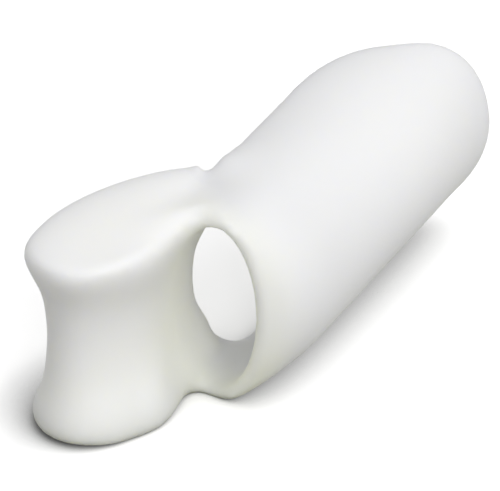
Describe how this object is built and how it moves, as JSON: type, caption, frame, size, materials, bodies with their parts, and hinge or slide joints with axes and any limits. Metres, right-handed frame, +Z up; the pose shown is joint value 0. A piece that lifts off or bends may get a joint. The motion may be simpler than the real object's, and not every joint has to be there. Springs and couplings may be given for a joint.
{
  "type": "toe separator",
  "caption": "Soft gel toe separator: a spool-shaped pad between the toes, an oval toe loop and a long curved shield for the joint.",
  "frame": {"origin": "on the ground, under the middle of the piece's box", "axes": "+X to the shield's outer side, +Y along the toe from the pad to the shield's tip, +Z up"},
  "size_m": [0.0266, 0.063, 0.0218],
  "materials": {
    "white_gel": "matt, milky, slightly see-through"
  },
  "bodies": {
    "root": {"toe_separator": "white_gel"}
  },
  "joints": []
}
